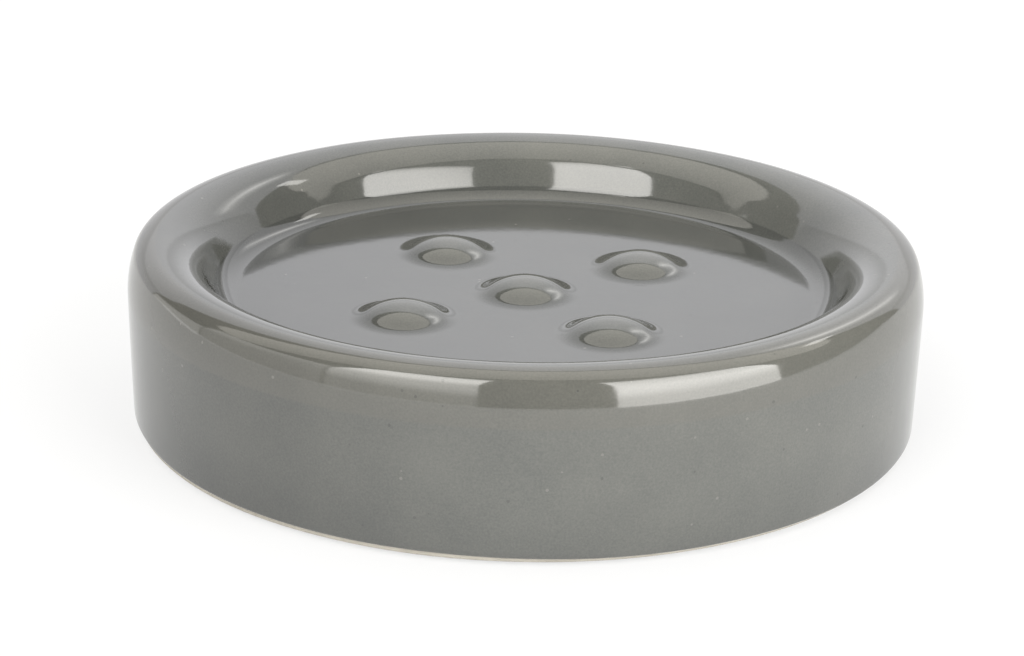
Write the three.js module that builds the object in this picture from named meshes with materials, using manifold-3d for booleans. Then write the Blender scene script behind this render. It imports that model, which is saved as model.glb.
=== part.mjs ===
// A round soap dish of glazed stoneware: a cast body with five knobs, its two coats of glaze and its pads.
import * as THREE from 'three';
import { mergeVertices } from 'three/addons/utils/BufferGeometryUtils.js';
import Module from 'manifold-3d';

// Driving dimensions in millimetres and degrees. The table is at z = 0 and the dish's axis is Z.
const dishDiameter = 110; // over the glaze, at the widest line of the wall
const dishHeight = 25; // from the table to the crest of the rim
const wellDepth = 8; // from the crest of the rim down to the edge of the floor
const wallDraft = 1.2; // angle by which the wall leans in towards the foot
const wallThickness = 5.4; // clay, at the foot ring
const floorThickness = 4.8; // clay, under the well

// The rim is a run of arcs that touch. A roll is the radius of an arc, a tilt is an angle from level.
const crestRoll = 4.3;
const shoulderRoll = 2.3;
const haunchRoll = 15; // the long arc from the shoulder into the wall
const crestInnerRoll = 8; // the crest is flatter towards the well
const innerRoll = 7;
const crestOuterTilt = 25;
const shoulderTilt = 70;
const uprightTilt = 90;
const crestInnerTilt = 20;
const wellTopTilt = 60; // of the well's wall where it leaves the rim
const wellFootTilt = 61.5; // of the well's wall where it meets the fillet
const filletRoll = 3.6;
const sweepRoll = 8; // the wider arc from the fillet into the floor
const sweepTilt = 6;
const floorTilt = 1.5; // of the dished floor at its edge

const glazeThickness = 0.4;
const bareFootHeight = 0.6; // clay left bare on the outside of the foot
const bareHollowHeight = 1.6; // clay left bare on the inside of the foot
const footEdgeRadius = 0.4;
const hollowFillet = 5;

// A knob is a dome that runs into the floor through a hollow flare.
const knobHeight = 2.2;
const knobDomeRadius = 9.8;
const knobFlareRadius = 4.4;
const knobCircleDiameter = 40;
const knobTurn = 35;
const knobsInRing = 4;
const knobSink = 0.1; // lowers the feather edge of the flare into the floor
const knobRoot = 1; // length of the knob that is buried in the clay

const padDiameter = 3.6;
const padThickness = 0.5;
const padEdgeRadius = 0.12;
const padMargin = 0.3; // from the inner edge of the foot's flat face
const padTurn = 45;
const padNames = ['pad_rear_right', 'pad_rear_left', 'pad_front_left', 'pad_front_right'];

// How finely the round forms are cut
const dishSides = 52;
const knobSides = 16;
const padSides = 16;
const tiltStep = 19; // most that one facet of a rolled arc turns
const fewestSteps = 2;
const filletSteps = 4;
const edgeSteps = 2;
const weldDistance = 1e-4;

// Arcs of the rim from its crest, each with its roll and the tilts where it starts and ends
const outerArcs = [
  [crestRoll, 0, crestOuterTilt],
  [shoulderRoll, crestOuterTilt, shoulderTilt],
  [haunchRoll, shoulderTilt, uprightTilt],
];
const innerArcs = [
  [crestInnerRoll, 0, crestInnerTilt],
  [innerRoll, crestInnerTilt, wellTopTilt],
];
const filletArcs = [
  [-filletRoll, wellFootTilt, sweepTilt],
  [-sweepRoll, sweepTilt, floorTilt],
];

// Places that follow from the sizes
const widestRadius = dishDiameter / 2;
const outerSpan = arcSpan(outerArcs);
const footHeight = padThickness;
const glazeLine = footHeight + bareFootHeight;
const hollowGlazeLine = footHeight + bareHollowHeight;
const shoulderHeight = dishHeight + outerSpan.y;
const crestRadius = widestRadius - outerSpan.x;
const wallArc = [wellWallRoll(), wellTopTilt, wellFootTilt];
const wellArcs = [...innerArcs, wallArc, ...filletArcs];
const floorRadius = crestRadius - arcSpan(wellArcs).x;
const floorRoll = floorRadius / Math.sin(THREE.MathUtils.degToRad(floorTilt));
const floorArc = [-floorRoll, floorTilt, 0];
const floorHeight = dishHeight - wellDepth + arcSpan([floorArc]).y;
const hollowHeight = floorHeight - glazeThickness - floorThickness;
const footOuterRadius = wallRadius(footHeight, glazeThickness);
const footInnerRadius = footOuterRadius - wallThickness;
const padCircleRadius = footInnerRadius + footEdgeRadius + padMargin + padDiameter / 2;

const wasm = await Module();
wasm.setup();

// Radius of the drafted wall at a height, pulled in by an inset
function wallRadius(height, inset) {
  const lean = Math.tan(THREE.MathUtils.degToRad(wallDraft));
  return widestRadius - inset - (shoulderHeight - height) * lean;
}

// Points along part of a circle in the section plane, from one angle to another
function circleArc(radius, height, arcRadius, fromAngle, toAngle, steps) {
  const points = [];
  for (let step = 0; step <= steps; step += 1) {
    const angle = THREE.MathUtils.degToRad(THREE.MathUtils.lerp(fromAngle, toAngle, step / steps));
    const across = radius + arcRadius * Math.cos(angle);
    const up = height + arcRadius * Math.sin(angle);
    points.push(new THREE.Vector2(Math.max(across, 0), up));
  }
  return points;
}

// Points along arcs that touch, outwards for side 1 and inwards for side -1. A hollow arc's roll is negative.
function rolledArcs(start, side, arcs, inset) {
  const points = [start];
  for (const [roll, fromTilt, toTilt] of arcs) {
    const last = points.at(-1);
    const from = THREE.MathUtils.degToRad(fromTilt);
    const steps = Math.max(Math.ceil(Math.abs(toTilt - fromTilt) / tiltStep), fewestSteps);
    for (let step = 1; step <= steps; step += 1) {
      const tilt = THREE.MathUtils.degToRad(THREE.MathUtils.lerp(fromTilt, toTilt, step / steps));
      const across = (roll - inset) * (Math.sin(tilt) - Math.sin(from));
      const down = (roll - inset) * (Math.cos(from) - Math.cos(tilt));
      points.push(new THREE.Vector2(last.x + side * across, last.y - down));
    }
  }
  return points;
}

// How far a run of arcs reaches, outwards and up
function arcSpan(arcs) {
  return rolledArcs(new THREE.Vector2(), 1, arcs, 0).at(-1);
}

// The well's wall is a long arc that fills the height between the rim and the fillet.
function wellWallRoll() {
  const room = wellDepth + arcSpan([...innerArcs, ...filletArcs]).y;
  const top = THREE.MathUtils.degToRad(wellTopTilt);
  const foot = THREE.MathUtils.degToRad(wellFootTilt);
  return Math.max(room, glazeThickness) / (Math.cos(top) - Math.cos(foot));
}

// The glazed side of the section, from the glaze line over the rim and down to the middle of the floor
function glazedOutline(inset) {
  const crest = new THREE.Vector2(crestRadius, dishHeight - inset);
  const outer = rolledArcs(crest, 1, outerArcs, inset).reverse();
  const well = rolledArcs(crest, -1, [...wellArcs, floorArc], inset);
  return [
    new THREE.Vector2(wallRadius(glazeLine, inset), glazeLine),
    ...outer,
    ...well.slice(1, -1),
    new THREE.Vector2(0, floorHeight - inset),
  ];
}

// The hollow side of the section, from the axis under the floor out and down to a given height
function hollowOutline(inset, endHeight) {
  const filletRadius = Math.min(hollowFillet, hollowHeight - hollowGlazeLine);
  const filletCentre = footInnerRadius - filletRadius;
  const filletHeight = hollowHeight - filletRadius;
  return [
    new THREE.Vector2(0, hollowHeight - inset),
    ...circleArc(filletCentre, filletHeight, filletRadius - inset, 90, 0, filletSteps),
    new THREE.Vector2(footInnerRadius - inset, endHeight),
  ];
}

// The bare foot ring, from its inner edge across the flat face to its outer edge
function footOutline() {
  const edgeHeight = footHeight + footEdgeRadius;
  return [
    ...circleArc(footInnerRadius + footEdgeRadius, edgeHeight, footEdgeRadius, 180, 270, edgeSteps),
    ...circleArc(footOuterRadius - footEdgeRadius, edgeHeight, footEdgeRadius, 270, 360, edgeSteps),
  ];
}

// Turns a section about the Z axis. The section starts and ends on the axis, or closes on itself.
function turned(section, sides) {
  const geometry = new THREE.LatheGeometry(section, sides);
  geometry.rotateX(Math.PI / 2);
  return toSolid(geometry);
}

function toSolid(geometry) {
  geometry.deleteAttribute('normal');
  geometry.deleteAttribute('uv');
  const welded = mergeVertices(geometry, weldDistance);
  const corners = welded.index.array;
  const triangles = [];
  for (let i = 0; i < corners.length; i += 3) {
    const [a, b, c] = corners.slice(i, i + 3);
    if (a !== b && b !== c && c !== a) {
      triangles.push(a, b, c);
    }
  }
  const vertProperties = Float32Array.from(welded.attributes.position.array);
  const triVerts = Uint32Array.from(triangles);
  return new wasm.Manifold(new wasm.Mesh({ numProp: 3, vertProperties, triVerts }));
}

function toMesh(name, solid, material) {
  const { vertProperties, triVerts } = solid.getMesh();
  const geometry = new THREE.BufferGeometry();
  geometry.setAttribute('position', new THREE.Float32BufferAttribute(vertProperties, 3));
  geometry.setIndex(Array.from(triVerts));
  geometry.computeVertexNormals();
  const mesh = new THREE.Mesh(geometry, material);
  mesh.name = name;
  return mesh;
}

// One knob standing on the floor's level, with its buried root
function knobSection(inset) {
  const reach = knobDomeRadius + knobFlareRadius;
  const footRadius = Math.sqrt(reach ** 2 - (reach - knobHeight) ** 2);
  const steepest = THREE.MathUtils.radToDeg(Math.asin(footRadius / reach));
  const flareRadius = knobFlareRadius + inset;
  const domeRadius = knobDomeRadius - inset;
  return [
    new THREE.Vector2(0, -inset - knobRoot),
    new THREE.Vector2(footRadius, -inset - knobRoot),
    ...circleArc(footRadius, knobFlareRadius, flareRadius, 270, 270 - steepest, filletSteps),
    ...circleArc(0, knobHeight - knobDomeRadius, domeRadius, 90 - steepest, 90, filletSteps).slice(1),
  ];
}

// One knob on the axis and the rest on a circle round it
function addKnobs(solid, inset) {
  const knob = turned(knobSection(inset), knobSides).translate([0, 0, floorHeight - knobSink]);
  const offset = knobCircleDiameter / 2;
  const rise = floorRoll - Math.sqrt(floorRoll ** 2 - offset ** 2);
  let joined = solid.add(knob);
  for (let index = 0; index < knobsInRing; index += 1) {
    const angle = THREE.MathUtils.degToRad(knobTurn + (360 / knobsInRing) * index);
    joined = joined.add(knob.translate([offset * Math.cos(angle), offset * Math.sin(angle), rise]));
  }
  return joined;
}

function bodySolid() {
  const section = [
    ...hollowOutline(0, hollowGlazeLine),
    ...footOutline(),
    ...glazedOutline(glazeThickness),
  ];
  return addKnobs(turned(section, dishSides), glazeThickness);
}

function dishGlazeSolid(body) {
  const section = [...glazedOutline(0), ...glazedOutline(glazeThickness).reverse()];
  section.push(section[0].clone());
  return addKnobs(turned(section, dishSides), 0).subtract(body);
}

function undersideGlazeSolid() {
  const clay = hollowOutline(0, hollowGlazeLine).reverse();
  const section = [...hollowOutline(glazeThickness, hollowGlazeLine), ...clay];
  section.push(section[0].clone());
  return turned(section, dishSides);
}

function padSolid() {
  const radius = padDiameter / 2;
  const edgeCentre = radius - padEdgeRadius;
  const section = [
    new THREE.Vector2(0, 0),
    ...circleArc(edgeCentre, padEdgeRadius, padEdgeRadius, 270, 360, edgeSteps),
    new THREE.Vector2(radius, padThickness),
    new THREE.Vector2(0, padThickness),
  ];
  return turned(section, padSides);
}

function glazeMaterial() {
  return new THREE.MeshStandardMaterial({ color: 0x7f817b, roughness: 0.12, metalness: 0 });
}

function clayMaterial() {
  return new THREE.MeshStandardMaterial({ color: 0xd6cab6, roughness: 0.85, metalness: 0 });
}

function padMaterial() {
  return new THREE.MeshStandardMaterial({ color: 0xc9cac6, roughness: 0.6, metalness: 0 });
}

const dish = new THREE.Group();
const body = bodySolid();
dish.add(toMesh('stoneware_body', body, clayMaterial()));
dish.add(toMesh('dish_glaze', dishGlazeSolid(body), glazeMaterial()));
dish.add(toMesh('underside_glaze', undersideGlazeSolid(), glazeMaterial()));

const pad = padSolid();
padNames.forEach((name, index) => {
  const angle = THREE.MathUtils.degToRad(padTurn + (360 / padNames.length) * index);
  const mesh = toMesh(name, pad, padMaterial());
  mesh.position.set(padCircleRadius * Math.cos(angle), padCircleRadius * Math.sin(angle), 0);
  dish.add(mesh);
});

export default dish;
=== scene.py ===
# Round soap dish in glazed stoneware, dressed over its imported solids. Lengths are in metres.
import math

import bmesh
import bpy
from mathutils import Matrix, Vector, noise


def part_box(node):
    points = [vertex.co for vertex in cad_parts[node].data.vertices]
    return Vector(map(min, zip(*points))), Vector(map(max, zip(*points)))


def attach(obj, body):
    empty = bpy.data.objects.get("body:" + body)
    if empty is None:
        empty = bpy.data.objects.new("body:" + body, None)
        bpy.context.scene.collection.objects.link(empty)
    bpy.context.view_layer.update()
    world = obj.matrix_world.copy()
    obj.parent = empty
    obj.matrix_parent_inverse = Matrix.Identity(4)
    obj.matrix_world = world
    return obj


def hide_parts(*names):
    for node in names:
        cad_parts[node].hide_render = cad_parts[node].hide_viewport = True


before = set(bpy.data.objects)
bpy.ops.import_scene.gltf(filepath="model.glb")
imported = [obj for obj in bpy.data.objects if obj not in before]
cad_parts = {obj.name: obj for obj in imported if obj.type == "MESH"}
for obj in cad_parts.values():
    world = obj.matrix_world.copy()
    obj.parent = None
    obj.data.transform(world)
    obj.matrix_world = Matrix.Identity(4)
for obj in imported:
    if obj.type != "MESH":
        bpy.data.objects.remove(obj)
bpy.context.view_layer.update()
print("frame loaded:", len(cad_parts), "nodes")


def linkObject(name, data):
    item = bpy.data.objects.new(name, data)
    bpy.context.scene.collection.objects.link(item)
    return item


def meshObject(name, form):
    mesh = bpy.data.meshes.new(name)
    form.to_mesh(mesh)
    form.free()
    return linkObject(name, mesh)


cameraView = {
    "eye": (0.0, -0.33437, 0.13390),
    "target": (-0.00179, 0.0, 0.01106),
    "lens": 89.12,
    "roll": 1.15,  # degrees that the dish leans to the right in the picture
}


def placeCamera(view):
    data = bpy.data.cameras.new("dishCamera")
    data.lens = view["lens"]
    camera = linkObject("dishCamera", data)
    eye = Vector(view["eye"])
    facing = (Vector(view["target"]) - eye).to_track_quat("-Z", "Y").to_matrix().to_4x4()
    roll = Matrix.Rotation(math.radians(view["roll"]), 4, "Z")
    camera.matrix_world = Matrix.Translation(eye) @ facing @ roll
    bpy.context.scene.camera = camera


placeCamera(cameraView)
print("camera placed")

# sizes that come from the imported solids
glazeLow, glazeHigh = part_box("dish_glaze")
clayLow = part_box("stoneware_body")[0]
hollowLow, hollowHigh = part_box("underside_glaze")

castForm = {
    "wobble": 0.00004,  # how far the cast surface wanders
    "wobbleScale": 55.0,
    "wobbleSeed": 1,
    "sides": 320,
    "claySides": 160,
    "axis": 1e-7,  # a row nearer to the axis than this is one point
}
noise.seed_set(castForm["wobbleSeed"])  # unseeded, the wobble would differ from run to run

wallForm = {
    "radius": glazeHigh.x - castForm["wobble"],
    "lean": math.tan(math.radians(1.2)),
    "leanStart": 0.002,  # the lean comes in over this height
    "step": 0.0009,
    "glaze": 0.0004,
    "runDown": 0.009,  # the glaze is darker over this height above its edge, partly thicker glaze and partly painted shade
}

# the lower edge of the glaze
lineForm = {
    "height": glazeLow.z,
    "tilt": 0.0045,  # the glaze runs lower on the right
    "sway": 0.00012,
    "swayScale": 45,
    "fade": 0.006,  # the edge's wandering dies out over this height
    "beadSteps": 5,
    "beadShare": 0.98,  # of the glaze's thickness
}

# how deep the glaze lies, with painted shade: below 0 it is thin, and towards 1 it is darker, partly as
# pooled glaze and partly as painted shade in the fillet, on the floor, round the knobs' feet, above the
# foot and in the hollow
glazeDepthAndShade = {
    "foot": 0.35,
    "rim": -0.4,
    "crest": -0.3,
    "wellWall": 0.0,
    "fillet": 0.8,
    "floor": 0.9,
    "knob": 1.1,  # what runs off the top of a knob
    "hollowFillet": 0.5,
    "hollowWall": 0.3,
}

# the rim is a run of arcs that touch, each to a tilt in degrees from level
rimForm = {
    "top": glazeHigh.z - castForm["wobble"],
    "crest": 0.0043,
    "shoulder": 0.0023,
    "haunch": 0.0150,  # long arc from the shoulder into the wall
    "crestWell": 0.0080,  # the crest is flatter towards the well
    "inner": 0.0070,
    "crestOut": 25.0,
    "shoulderOut": 70.0,
    "crestIn": 20.0,
    "wallTop": 60.0,
    "wallFoot": 61.5,
    "steps": 14,
}

wellForm = {
    "depth": 0.0080,  # from the crest to the edge of the floor
    "fillet": 0.0036,
    "sweep": 0.0080,  # wider arc from the fillet into the floor
    "sweepTilt": 6.0,
    "floorTilt": 1.5,  # of the dished floor at its edge
    "knobReach": 0.0285,  # the floor is cut finely out to here
    "fineStep": 0.0005,
    "wideStep": 0.0012,
}

knobForm = {
    "height": 0.0022,
    "dome": 0.0098,
    "flare": 0.0044,
    "ring": 0.020,
    "turn": 35.0,
    "count": 4,
}

hollowForm = {
    "radius": hollowHigh.x,
    "ceiling": hollowHigh.z,
    "ceilingStep": 0.004,
    "line": hollowLow.z,
    "fillet": 0.005,
    "filletSteps": 10,
    "wallStep": 0.0012,
    "foot": clayLow.z,
    "footStep": 0.0009,
    "footEdge": 0.0004,
    "footEdgeSteps": 5,
}


# the rim's arcs going out from the crest to the wall, and going in to the well
outerArcs = (
    (0.0, rimForm["crestOut"], rimForm["crest"]),
    (rimForm["crestOut"], rimForm["shoulderOut"], rimForm["shoulder"]),
    (rimForm["shoulderOut"], 90.0, rimForm["haunch"]),
)
innerArcs = (
    (0.0, rimForm["crestIn"], rimForm["crestWell"]),
    (rimForm["crestIn"], rimForm["wallTop"], rimForm["inner"]),
)


def arcReach(arcs):
    across = down = 0.0
    for start, end, size in arcs:
        start, end = math.radians(start), math.radians(end)
        across += size * (math.sin(end) - math.sin(start))
        down += size * (math.cos(start) - math.cos(end))
    return across, down


# a long arc down the well's wall joins the rim to the fillet, and a hollow arc has a size below zero
filletArcs = (
    (rimForm["wallFoot"], wellForm["sweepTilt"], -wellForm["fillet"]),
    (wellForm["sweepTilt"], wellForm["floorTilt"], -wellForm["sweep"]),
)
wallTop, wallFoot = math.radians(rimForm["wallTop"]), math.radians(rimForm["wallFoot"])
wallDrop = wellForm["depth"] - arcReach(innerArcs + filletArcs)[1]
wallRoll = wallDrop / (math.cos(wallTop) - math.cos(wallFoot))
wellArcs = innerArcs + ((rimForm["wallTop"], rimForm["wallFoot"], wallRoll),) + filletArcs

shoulderAcross, shoulderDown = arcReach(outerArcs)
crestRadius = wallForm["radius"] - shoulderAcross
shoulderHeight = rimForm["top"] - shoulderDown
floorEdge = crestRadius - arcReach(wellArcs)[0]
floorTilt = math.radians(wellForm["floorTilt"])
floorRoll = floorEdge / math.sin(floorTilt)
floorHeight = rimForm["top"] - wellForm["depth"] - floorRoll * (1 - math.cos(floorTilt))


def wallRadius(height, inset):
    below = max(shoulderHeight - height, 0.0)
    leaning = below * below / (below + wallForm["leanStart"])
    return wallForm["radius"] - inset - leaning * wallForm["lean"]


# points along touching arcs from the crest, out over the shoulder or, with side -1, into the well
def rolledArcs(arcs, inset, side, steps):
    radius, height = crestRadius, rimForm["top"] - inset
    points = []
    for start, end, size in arcs:
        first = math.radians(start)
        for step in range(1, steps + 1):
            tilt = math.radians(start + (end - start) * step / steps)
            across = (size - inset) * (math.sin(tilt) - math.sin(first))
            down = (size - inset) * (math.cos(first) - math.cos(tilt))
            points.append((radius + side * across, height - down))
        radius, height = points[-1]
    return points


def roundArc(radius, height, size, start, end, steps):
    points = []
    for step in range(steps + 1):
        angle = math.radians(start + (end - start) * step / steps)
        points.append((radius + size * math.cos(angle), height + size * math.sin(angle)))
    return points


def stepsBetween(start, end, size):
    count = max(1, round(abs(end - start) / size))
    return [start + (end - start) * step / count for step in range(1, count + 1)]


# one knob's height over the floor at a distance from its axis
def knobRise(distance, inset):
    reach = knobForm["dome"] + knobForm["flare"]
    foot = math.sqrt(reach ** 2 - (reach - knobForm["height"]) ** 2)
    dome = knobForm["dome"] - inset
    flare = knobForm["flare"] + inset
    if distance >= foot:
        return 0.0
    if distance < dome * foot / reach:
        return knobForm["height"] - knobForm["dome"] + math.sqrt(dome ** 2 - distance ** 2) + inset
    return knobForm["flare"] - math.sqrt(flare ** 2 - (foot - distance) ** 2) + inset


def knobPlaces():
    places = [Vector((0.0, 0.0))]
    for index in range(knobForm["count"]):
        angle = math.radians(knobForm["turn"] + 360 * index / knobForm["count"])
        places.append(Vector((math.cos(angle), math.sin(angle))) * knobForm["ring"])
    return places


knobCentres = knobPlaces()


def floorRise(spot, inset):
    flat = Vector((spot.x, spot.y))
    return max(knobRise((flat - centre).length, inset) for centre in knobCentres)


def castWobble(spot):
    drift = noise.noise_vector(spot * castForm["wobbleScale"])
    return spot + drift * castForm["wobble"]


# a row is (radius, height, depth of glaze with painted shade, inset of the floor), and only the floor's
# rows have an inset
def plainRows(points, depth=0.0):
    return [(radius, height, depth, None) for radius, height in points]


# the wall, the rim and the well
def glazedRows(inset, fine):
    steps = rimForm["steps"] if fine else rimForm["steps"] // 2
    line = lineForm["height"]
    rows = []
    for height in [line] + stepsBetween(line, shoulderHeight, wallForm["step"]):
        # painted shade near the foot, partly thicker glaze, dying out upwards
        low = max(0.0, 1 - (height - line) / wallForm["runDown"])
        rows.append((wallRadius(height, inset), height, glazeDepthAndShade["foot"] * low, None))
    rows += plainRows(rolledArcs(outerArcs, inset, 1, steps)[-2::-1], glazeDepthAndShade["rim"])
    rows += plainRows([(crestRadius, rimForm["top"] - inset)], glazeDepthAndShade["crest"])
    well = rolledArcs(wellArcs, inset, -1, steps)
    filletStart = len(well) - len(filletArcs) * steps
    rows += plainRows(well[:filletStart], glazeDepthAndShade["wellWall"])
    rows += plainRows(well[filletStart:], glazeDepthAndShade["fillet"])
    nearStep = wellForm["fineStep"] if fine else wellForm["wideStep"]
    wide = stepsBetween(well[-1][0], wellForm["knobReach"], wellForm["wideStep"])
    near = stepsBetween(wellForm["knobReach"], 0.0, nearStep)
    for radius in wide + near:
        dishing = floorRoll - math.sqrt(floorRoll ** 2 - radius ** 2)
        rows.append((radius, floorHeight - inset + dishing, glazeDepthAndShade["floor"], inset))
    return rows


# turns rows about an upright axis, each row either a ring or a single point on the axis
def turnedPiece(name, rows, sides, looped, place=(0.0, 0.0, 0.0), shape=None):
    form = bmesh.new()
    pooled = form.verts.layers.float.new("pooled")
    rings = []
    for radius, height, depth, inset in rows:
        ring = []
        for side in range(sides if radius > castForm["axis"] else 1):
            angle = 2 * math.pi * side / sides
            spot = Vector((radius * math.cos(angle), radius * math.sin(angle), height))
            rise = floorRise(spot, inset) if inset is not None else 0.0
            spot.z += rise
            vert = form.verts.new((shape(spot) if shape else spot) + Vector(place))
            # depth of glaze with painted shade, thinner on the knobs' tops
            vert[pooled] = depth - glazeDepthAndShade["knob"] * rise / knobForm["height"]
            ring.append(vert)
        rings.append(ring)
    pairs = list(zip(rings, rings[1:]))
    if looped:
        pairs.append((rings[-1], rings[0]))
    for one, two in pairs:
        if len(one) == 1 and len(two) == 1:
            continue
        for side in range(sides):
            after = (side + 1) % sides
            if len(one) == 1:
                form.faces.new((one[0], two[side], two[after]))
            elif len(two) == 1:
                form.faces.new((one[side], one[after], two[0]))
            else:
                form.faces.new((one[side], one[after], two[after], two[side]))
    bmesh.ops.recalc_face_normals(form, faces=form.faces)
    for face in form.faces:
        face.smooth = True
    return meshObject(name, form)


# the lower edge of the glaze wanders round the foot
def lowerGlazeLine(spot):
    above = spot.z - lineForm["height"]
    if spot.z < shoulderHeight and math.hypot(spot.x, spot.y) > crestRadius:
        near = max(0.0, 1 - above / lineForm["fade"])
        sway = noise.noise(Vector((spot.x, spot.y, 0.0)) * lineForm["swayScale"]) * lineForm["sway"]
        spot = spot + Vector((0.0, 0.0, (sway - lineForm["tilt"] * spot.x) * near * near))
    return castWobble(spot)


# a closed skin that ends in a soft bead
def makeDishGlaze():
    bead, line, steps = wallForm["glaze"], lineForm["height"], lineForm["beadSteps"]
    outer = glazedRows(0.0, True)
    inner = glazedRows(bead, False)
    points = []
    for step in range(steps):
        angle = math.radians(90 * step / steps)
        height = line + bead * (1 - math.sin(angle))
        radius = wallRadius(height, bead) + bead * math.cos(angle) * lineForm["beadShare"]
        points.append((radius, height))
    lifted = [row for row in outer if row[1] > line + bead or row[3] is not None]
    rows = plainRows(points[::-1], glazeDepthAndShade["foot"]) + lifted + inner[::-1]
    return turnedPiece("dishGlaze", rows, castForm["sides"], True, shape=lowerGlazeLine)


# the underside's ceiling, fillet and wall
def hollowRows(inset):
    radius, ceiling, fillet = hollowForm["radius"], hollowForm["ceiling"], hollowForm["fillet"]
    middle, low = radius - fillet, ceiling - fillet
    flat = [0.0] + stepsBetween(0.0, middle, hollowForm["ceilingStep"])[:-1]
    arc = roundArc(middle, low, fillet - inset, 90, 0, hollowForm["filletSteps"])
    wall = stepsBetween(low, hollowForm["line"], hollowForm["wallStep"])
    rows = plainRows([(across, ceiling - inset) for across in flat])
    rows += plainRows(arc, glazeDepthAndShade["hollowFillet"])
    rows += plainRows([(radius - inset, height) for height in wall], glazeDepthAndShade["hollowWall"])
    return rows


def makeClayBody():
    foot, edge, steps = hollowForm["foot"], hollowForm["footEdge"], hollowForm["footEdgeSteps"]
    inside = hollowForm["radius"] + edge
    outside = wallRadius(foot, wallForm["glaze"]) - edge
    points = roundArc(inside, foot + edge, edge, 180, 270, steps)
    points += [(radius, foot) for radius in stepsBetween(inside, outside, hollowForm["footStep"])[:-1]]
    points += roundArc(outside, foot + edge, edge, 270, 360, steps)
    rows = hollowRows(0.0) + plainRows(points) + glazedRows(wallForm["glaze"], False)
    return turnedPiece("clayBody", rows, castForm["claySides"], False, shape=castWobble)


def makeHollowGlaze():
    rows = hollowRows(wallForm["glaze"]) + hollowRows(0.0)[::-1]
    return turnedPiece("hollowGlaze", rows, castForm["claySides"], False, shape=castWobble)


dishGlaze = makeDishGlaze()
clayBody = makeClayBody()
hollowGlaze = makeHollowGlaze()
for piece in (dishGlaze, clayBody, hollowGlaze):
    print("turned:", piece.name, "with", len(piece.data.polygons), "faces")

padForm = {
    "names": ("pad_rear_right", "pad_rear_left", "pad_front_left", "pad_front_right"),
    "edge": 0.00014,
    "edgeSteps": 5,
    "dish": 0.00004,  # the moulded face sinks a little in its middle
    "dishAt": 0.5,  # share of the radius where it sinks less, and how much of it is left there
    "dishLeft": 0.7,
    "upright": 0.6,  # share of the height up to which the side stands straight
    "top": 0.985,  # share of the radius at the top
    "sides": 40,
}


def makePad(node):
    low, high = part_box(node)
    centre = (low + high) / 2
    radius, tall = (high.x - low.x) / 2, high.z - low.z
    edge, dish = padForm["edge"], padForm["dish"]
    points = [(0.0, dish), (radius * padForm["dishAt"], dish * padForm["dishLeft"])]
    points += roundArc(radius - edge, edge, edge, 270, 360, padForm["edgeSteps"])
    points += [(radius, tall * padForm["upright"]), (radius * padForm["top"], tall), (0.0, tall)]
    name = "".join(word.capitalize() for word in node.split("_"))
    name = name[0].lower() + name[1:]
    place = (centre.x, centre.y, low.z)
    return turnedPiece(name, plainRows(points), padForm["sides"], False, place=place)


pads = {node: makePad(node) for node in padForm["names"]}
print("pads made:", len(pads))


def startMaterial(name):
    material = bpy.data.materials.new(name)
    material.use_nodes = True
    tree = material.node_tree
    return material, tree, tree.nodes["Principled BSDF"]


# links an output to a socket, or writes a number or a colour there
def plug(tree, value, socket):
    if isinstance(value, bpy.types.NodeSocket):
        tree.links.new(value, socket)
    elif isinstance(value, tuple):
        socket.default_value = (*value, 1.0)
    else:
        socket.default_value = value


def objectCoords(tree):
    return tree.nodes.new("ShaderNodeTexCoord").outputs["Object"]


def splitVector(tree, vector):
    node = tree.nodes.new("ShaderNodeSeparateXYZ")
    tree.links.new(vector, node.inputs["Vector"])
    return node.outputs


def noiseNode(tree, coords, scale, detail, rough=0.5):
    node = tree.nodes.new("ShaderNodeTexNoise")
    node.inputs["Scale"].default_value = scale
    node.inputs["Detail"].default_value = detail
    node.inputs["Roughness"].default_value = rough
    tree.links.new(coords, node.inputs["Vector"])
    return node.outputs["Fac"]


def rampNode(tree, value, stops):
    node = tree.nodes.new("ShaderNodeValToRGB")
    while len(node.color_ramp.elements) < len(stops):
        node.color_ramp.elements.new(0.5)
    for element, (place, colour) in zip(node.color_ramp.elements, stops):
        element.position = place
        element.color = (*colour, 1.0)
    tree.links.new(value, node.inputs["Fac"])
    return node.outputs["Color"]


def greyRamp(tree, value, stops):
    return rampNode(tree, value, [(place, (tone, tone, tone)) for place, tone in stops])


def twoTones(tree, value, finish):
    low, high = finish["tones"]
    return rampNode(tree, value, ((low, finish["dark"]), (high, finish["light"])))


def mathNode(tree, kind, one, two):
    node = tree.nodes.new("ShaderNodeMath")
    node.operation = kind
    plug(tree, one, node.inputs[0])
    plug(tree, two, node.inputs[1])
    return node.outputs["Value"]


def blendColour(tree, share, one, two, kind="MIX"):
    node = tree.nodes.new("ShaderNodeMix")
    node.data_type = "RGBA"
    node.blend_type = kind
    # the sockets of the share and the two colours have these places in the node
    for place, value in ((0, share), (6, one), (7, two)):
        plug(tree, value, node.inputs[place])
    return node.outputs[2]


def bumpNode(tree, height, bump, under=None):
    node = tree.nodes.new("ShaderNodeBump")
    node.inputs["Strength"].default_value, node.inputs["Distance"].default_value = bump
    tree.links.new(height, node.inputs["Height"])
    if under is not None:
        tree.links.new(under, node.inputs["Normal"])
    return node.outputs["Normal"]


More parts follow.
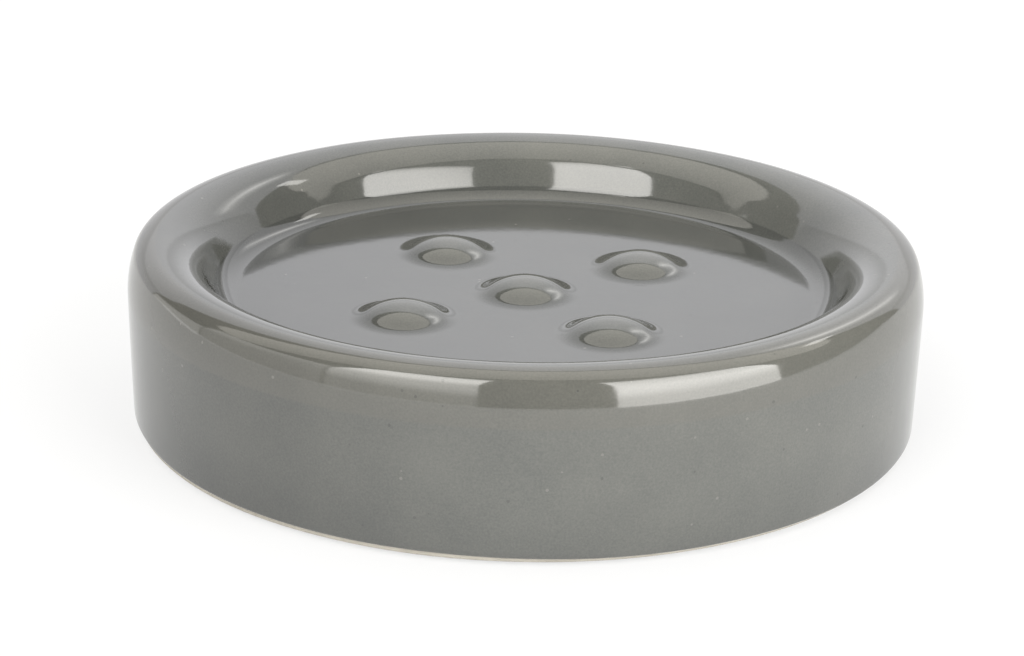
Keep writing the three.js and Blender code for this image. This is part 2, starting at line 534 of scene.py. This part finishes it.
# a bump is (strength, distance), here and below
glazeFinish = {
    "light": (0.132, 0.134, 0.123),
    "dark": (0.090, 0.094, 0.089),
    "tones": (0.32, 0.68),  # where the mottling is darkest and lightest
    "clouds": {"scale": 95, "detail": 3},
    "cloudShare": 0.4,
    "grain": {"scale": 3600, "detail": 2, "rough": 0.6},
    "grainShare": 0.6,
    # painted shade, darker towards the left of the dish
    "fired": ((0.0, 0.64), (0.18, 0.69), (0.38, 0.89), (0.50, 0.96), (0.85, 1.0), (1.0, 0.92)),
    "thin": (0.122, 0.114, 0.097),
    "thinShare": 0.7,
    "pool": (0.45, 0.46, 0.47),  # where it pools and where shade is painted, the tone is multiplied by this
    "poolShadeShare": 0.8,
    "cells": 620,
    "cellReach": 0.13,
    "speck": (0.24, 0.235, 0.215),
    "speckOver": 0.93,  # cells drawn above this have a speck, and those below pinUnder a pinhole
    "speckShare": 0.35,
    "pin": (0.048, 0.050, 0.048),
    "pinUnder": 0.06,
    "pinShare": 0.5,
    "pinBump": (0.4, 0.00004),
    "rough": 0.045,
    "cloudRough": 0.05,
    "peel": {"scale": 520, "detail": 1},
    "peelBump": (0.25, 0.00002),
    "ior": 1.8,
}


def stonewareGlaze(name, finish):
    material, tree, shader = startMaterial(name)
    coords = objectCoords(tree)
    clouds = noiseNode(tree, coords, **finish["clouds"])
    grain = noiseNode(tree, coords, **finish["grain"])
    wide = mathNode(tree, "MULTIPLY", clouds, finish["cloudShare"])
    fine = mathNode(tree, "MULTIPLY", grain, finish["grainShare"])
    ground = twoTones(tree, mathNode(tree, "ADD", wide, fine), finish)

    # painted shade: the dish is darker at the left, where across is 0, than at the right
    across = mathNode(tree, "DIVIDE", splitVector(tree, coords)["X"], wallForm["radius"] * 2)
    across = mathNode(tree, "ADD", across, 0.5)
    ground = blendColour(tree, 1.0, ground, greyRamp(tree, across, finish["fired"]), "MULTIPLY")

    # thin glaze over the edges; darker in the recesses and above the foot, partly pooled glaze and partly
    # painted shade
    attribute = tree.nodes.new("ShaderNodeAttribute")
    attribute.attribute_name = "pooled"
    depth = attribute.outputs["Fac"]
    thinness = mathNode(tree, "MAXIMUM", mathNode(tree, "MULTIPLY", depth, -1), 0.0)
    thinShare = mathNode(tree, "MULTIPLY", thinness, finish["thinShare"])
    poolShadeShare = mathNode(tree, "MULTIPLY", mathNode(tree, "MAXIMUM", depth, 0.0), finish["poolShadeShare"])
    ground = blendColour(tree, thinShare, ground, finish["thin"])
    pool = blendColour(tree, 1.0, ground, finish["pool"], "MULTIPLY")
    ground = blendColour(tree, poolShadeShare, ground, pool)

    # fine pale specks and a few pinholes
    cells = tree.nodes.new("ShaderNodeTexVoronoi")
    cells.inputs["Scale"].default_value = finish["cells"]
    tree.links.new(coords, cells.inputs["Vector"])
    nearCell = mathNode(tree, "LESS_THAN", cells.outputs["Distance"], finish["cellReach"])
    split = tree.nodes.new("ShaderNodeSeparateColor")
    tree.links.new(cells.outputs["Color"], split.inputs["Color"])
    drawn = split.outputs["Red"]
    speck = mathNode(tree, "GREATER_THAN", drawn, finish["speckOver"])
    speck = mathNode(tree, "MULTIPLY", nearCell, speck)
    pin = mathNode(tree, "LESS_THAN", drawn, finish["pinUnder"])
    pin = mathNode(tree, "MULTIPLY", nearCell, pin)
    speckShare = mathNode(tree, "MULTIPLY", speck, finish["speckShare"])
    pinShare = mathNode(tree, "MULTIPLY", pin, finish["pinShare"])
    ground = blendColour(tree, speckShare, ground, finish["speck"])
    ground = blendColour(tree, pinShare, ground, finish["pin"])
    tree.links.new(ground, shader.inputs["Base Color"])

    uneven = mathNode(tree, "MULTIPLY", clouds, finish["cloudRough"])
    tree.links.new(mathNode(tree, "ADD", uneven, finish["rough"]), shader.inputs["Roughness"])
    peel = bumpNode(tree, noiseNode(tree, coords, **finish["peel"]), finish["peelBump"])
    pitted = bumpNode(tree, mathNode(tree, "MULTIPLY", pin, -1), finish["pinBump"], peel)
    tree.links.new(pitted, shader.inputs["Normal"])
    shader.inputs["IOR"].default_value = finish["ior"]
    return material


clayFinish = {
    "light": (0.50, 0.472, 0.42),
    "dark": (0.38, 0.355, 0.31),
    "tones": (0.3, 0.7),
    "clouds": {"scale": 180, "detail": 4, "rough": 0.6},
    "grain": {"scale": 2600, "detail": 3, "rough": 0.7},
    "grainBump": (0.6, 0.00006),
    "fleck": (0.24, 0.21, 0.175),
    "fleckGrain": ((0.30, 1.0), (0.38, 0.0)),  # flecks lie where the grain is lowest
    "fleckShare": 0.5,
    "rough": 0.88,
}


def bareClay(name, finish):
    material, tree, shader = startMaterial(name)
    coords = objectCoords(tree)
    clouds = noiseNode(tree, coords, **finish["clouds"])
    grain = noiseNode(tree, coords, **finish["grain"])
    flecks = greyRamp(tree, grain, finish["fleckGrain"])
    fleckShare = mathNode(tree, "MULTIPLY", flecks, finish["fleckShare"])
    ground = blendColour(tree, fleckShare, twoTones(tree, clouds, finish), finish["fleck"])
    tree.links.new(ground, shader.inputs["Base Color"])
    tree.links.new(bumpNode(tree, grain, finish["grainBump"]), shader.inputs["Normal"])
    shader.inputs["Roughness"].default_value = finish["rough"]
    return material


padFinish = {
    "light": (0.72, 0.73, 0.71),
    "dark": (0.60, 0.61, 0.60),
    "tones": (0.3, 0.7),
    "clouds": {"scale": 600, "detail": 2},
    "grain": {"scale": 5200, "detail": 2},
    "grainBump": (0.3, 0.00002),
    "rough": 0.5,
    "scatter": 0.15,
    "scatterReach": 0.001,
}


def softPad(name, finish):
    material, tree, shader = startMaterial(name)
    coords = objectCoords(tree)
    clouds = noiseNode(tree, coords, **finish["clouds"])
    grain = noiseNode(tree, coords, **finish["grain"])
    tree.links.new(twoTones(tree, clouds, finish), shader.inputs["Base Color"])
    tree.links.new(bumpNode(tree, grain, finish["grainBump"]), shader.inputs["Normal"])
    shader.inputs["Roughness"].default_value = finish["rough"]
    shader.inputs["Subsurface Weight"].default_value = finish["scatter"]
    shader.inputs["Subsurface Scale"].default_value = finish["scatterReach"]
    return material


glazeMaterial = stonewareGlaze("olive grey glaze", glazeFinish)
hollowMaterial = stonewareGlaze("olive grey glaze inside", glazeFinish)
clayMaterial = bareClay("bare stoneware", clayFinish)
padMaterial = softPad("soft clear pad", padFinish)
print("materials made")


def settle(piece, material, slot, *nodes):
    piece.data.materials.append(material)
    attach(piece, "root")
    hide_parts(*nodes)


settle(dishGlaze, glazeMaterial, "glaze", "dish_glaze")
settle(hollowGlaze, hollowMaterial, "underside_glaze", "underside_glaze")
settle(clayBody, clayMaterial, "clay", "stoneware_body")
for node, pad in pads.items():
    settle(pad, padMaterial, "pad", node)
print("pieces settled on the frame")

tableSet = {
    "half": 3.0,
    "cells": 12,
    "colour": (0.83, 0.84, 0.86),
    "rough": 0.9,
    "white": 0.7,  # share of plain white that the camera and the reflections see in the table
}


def makeFloor(table):
    form = bmesh.new()
    cells = table["cells"]
    bmesh.ops.create_grid(form, x_segments=cells, y_segments=cells, size=table["half"])
    floor = meshObject("tableTop", form)
    material, tree, shader = startMaterial("white table")
    shader.inputs["Base Color"].default_value = (*table["colour"], 1.0)
    shader.inputs["Roughness"].default_value = table["rough"]
    shader.inputs["Specular IOR Level"].default_value = 0.0
    white = tree.nodes.new("ShaderNodeEmission")
    mixed = tree.nodes.new("ShaderNodeMixShader")
    path = tree.nodes.new("ShaderNodeLightPath").outputs
    seen = mathNode(tree, "MAXIMUM", path["Is Camera Ray"], path["Is Glossy Ray"])
    seen = mathNode(tree, "MAXIMUM", seen, path["Is Transmission Ray"])
    tree.links.new(mathNode(tree, "MULTIPLY", seen, table["white"]), mixed.inputs["Fac"])
    tree.links.new(shader.outputs["BSDF"], mixed.inputs[1])
    tree.links.new(white.outputs["Emission"], mixed.inputs[2])
    tree.links.new(mixed.outputs["Shader"], tree.nodes["Material Output"].inputs["Surface"])
    floor.data.materials.append(material)


# white surround, open towards the camera and lower at its sides
tentSet = {
    "radius": 0.62,
    "foot": 0.001,
    "half": 56.0,  # degrees that it reaches to each side of the back
    "columns": 24,  # on each side of the back
    "back": 55.5,  # degrees up to its top, behind the dish
    "left": 26.0,
    "right": 46.0,
    "colour": (0.97, 0.97, 1.0),
    "glow": 1.32,
    "across": ((0.0, 0.70), (0.25, 0.84), (0.42, 1.0), (0.58, 1.0), (0.75, 0.87), (1.0, 0.78)),
    "along": ((0.0, 0.92), (0.15, 0.88), (0.222, 0.74), (0.233, 1.0)),  # it is dimmer near the table
}


def makeTent(cloth):
    form = bmesh.new()
    columns = []
    for step in range(2 * cloth["columns"] + 1):
        across = step / cloth["columns"] - 1
        angle = math.radians(90 - cloth["half"] * across)
        x, y = math.cos(angle) * cloth["radius"], math.sin(angle) * cloth["radius"]
        side = cloth["left"] if across < 0 else cloth["right"]
        tilt = math.radians(cloth["back"] + (side - cloth["back"]) * across * across)
        top = cloth["radius"] * math.tan(tilt)
        columns.append((form.verts.new((x, y, cloth["foot"])), form.verts.new((x, y, top))))
    for one, two in zip(columns, columns[1:]):
        form.faces.new((one[0], one[1], two[1], two[0]))
    tent = meshObject("whiteSurround", form)
    material, tree, shader = startMaterial("white surround")
    shader.inputs["Base Color"].default_value = (0.0, 0.0, 0.0, 1.0)
    shader.inputs["Specular IOR Level"].default_value = 0.0
    shader.inputs["Emission Color"].default_value = (*cloth["colour"], 1.0)
    place = splitVector(tree, tree.nodes.new("ShaderNodeTexCoord").outputs["Generated"])
    wide = greyRamp(tree, place["X"], cloth["across"])
    share = mathNode(tree, "MULTIPLY", wide, greyRamp(tree, place["Z"], cloth["along"]))
    tree.links.new(mathNode(tree, "MULTIPLY", share, cloth["glow"]), shader.inputs["Emission Strength"])
    tent.data.materials.append(material)


# glow is a lamp's brightness, and along is its share of that from the lower edge (0) to the upper one (1)
softboxes = {
    "rightBox": {
        "azimuths": (24.5, 72.0),
        "heights": (0.0, 50.0),
        "out": 1.0,
        "glow": 6.2,
        "along": (
            (0.0, 0.57), (0.11, 0.62), (0.18, 0.89), (0.24, 1.0), (0.52, 0.85),
            (0.70, 0.78), (0.80, 0.66), (0.88, 0.5), (0.95, 0.25), (1.0, 0.1),
        ),
    },
    "leftBox": {
        "azimuths": (-12.0, -54.0),
        "heights": (0.0, 61.0),
        "out": 1.0,
        "glow": 5.2,
        "along": (
            (0.0, 0.12), (0.09, 0.14), (0.15, 0.42), (0.29, 0.65),
            (0.43, 0.95), (0.62, 1.0), (0.77, 0.92), (1.0, 0.5),
        ),
    },
    "leftCard": {
        "azimuths": (-55.0, -98.0),
        "heights": (0.0, 28.0),
        "out": 1.0,
        "glow": 1.1,
        "along": ((0.0, 0.5), (0.33, 0.6), (0.65, 1.0), (1.0, 1.0)),
    },
    "lowScreen": {
        "azimuths": (-98.0, -124.0),
        "heights": (0.0, 13.0),
        "out": 0.8,
        "glow": 0.9,
        "along": ((0.0, 1.0), (0.7, 1.0), (1.0, 0.4)),
    },
    "sideBox": {
        "azimuths": (138.0, 158.0),
        "heights": (23.0, 50.0),
        "out": 0.6,
        "glow": 2.6,
        "along": ((0.0, 0.0), (0.12, 0.5), (0.35, 0.7), (0.60, 1.0), (0.80, 0.7), (1.0, 0.0)),
        "across": ((0.0, 0.0), (0.3, 0.35), (0.5, 1.0), (0.7, 0.35), (1.0, 0.0)),
    },
    "strip": {
        "azimuths": (112.0, 129.0),
        "heights": (42.0, 46.5),
        "out": 0.5,
        "glow": 3.0,
        "along": ((0.0, 1.0), (1.0, 1.0)),
    },
}
softboxColour = (1.0, 0.985, 0.95)


def makeLamp(name, shape, size, lamp, colour):
    data = bpy.data.lights.new(name, "AREA")
    data.shape = shape
    data.size, data.size_y = size
    area = size[0] * size[1] * (math.pi / 4 if shape == "ELLIPSE" else 1.0)
    data.energy = lamp["glow"] * math.pi * area
    data.color = colour
    data.use_nodes = True  # the cloth isn't lit evenly
    tree = data.node_tree
    place = splitVector(tree, tree.nodes.new("ShaderNodeNewGeometry").outputs["Parametric"])
    share = greyRamp(tree, place["Y"], lamp["along"])
    if "across" in lamp:
        share = mathNode(tree, "MULTIPLY", share, greyRamp(tree, place["X"], lamp["across"]))
    tree.links.new(share, tree.nodes["Emission"].inputs["Strength"])
    return linkObject(name, data)


# upright softbox between two azimuths and two heights in degrees
def makeSoftbox(name, lamp):
    first, last = (math.radians(angle) for angle in lamp["azimuths"])
    low, high = (math.tan(math.radians(angle)) for angle in lamp["heights"])
    middle = (first + last) / 2
    out = lamp["out"]
    size = (2 * math.tan(abs(last - first) / 2) * out, (high - low) * out)
    piece = makeLamp(name, "RECTANGLE", size, lamp, softboxColour)
    piece.location = Vector((math.sin(middle), -math.cos(middle), (low + high) / 2)) * out
    piece.rotation_euler = (math.radians(90), 0.0, middle)


# oval panel over the dish in a black frame, its cloth dimmer towards the front
overheadPanel = {
    "up": 0.9,
    "middle": 0.11,
    "size": (3.4, 0.92),
    "glow": 1.25,
    "along": ((0.0, 0.5), (0.6, 0.9), (1.0, 1.0)),
    "colour": (1.0, 0.96, 0.88),
    "frame": 0.05,
    "frameSides": 72,
    "frameColour": (0.01, 0.01, 0.01),
    "frameRough": 0.9,
}


def makeOverhead(lamp):
    piece = makeLamp("overhead", "ELLIPSE", lamp["size"], lamp, lamp["colour"])
    piece.location = (0.0, lamp["middle"], lamp["up"])
    form = bmesh.new()
    sides = lamp["frameSides"]
    rings = []
    for grow in (0.0, lamp["frame"]):
        across, along = (side / 2 + grow for side in lamp["size"])
        ring = []
        for step in range(sides):
            turn = 2 * math.pi * step / sides
            ring.append(form.verts.new((math.cos(turn) * across, math.sin(turn) * along, 0.0)))
        rings.append(ring)
    inner, outer = rings
    for side in range(sides):
        after = (side + 1) % sides
        form.faces.new((inner[side], inner[after], outer[after], outer[side]))
    frameEdge = meshObject("blackFrame", form)
    frameEdge.location = piece.location
    material, tree, shader = startMaterial("black frame")
    shader.inputs["Base Color"].default_value = (*lamp["frameColour"], 1.0)
    shader.inputs["Roughness"].default_value = lamp["frameRough"]
    frameEdge.data.materials.append(material)


makeFloor(tableSet)
makeTent(tentSet)
for name, lamp in softboxes.items():
    makeSoftbox(name, lamp)
makeOverhead(overheadPanel)

roomColour = (0.21, 0.21, 0.19)
world = bpy.data.worlds.new("room")
world.use_nodes = True
world.node_tree.nodes["Background"].inputs["Color"].default_value = (*roomColour, 1.0)
bpy.context.scene.world = world
bpy.context.scene.view_settings.view_transform = "Standard"
print("studio lit")
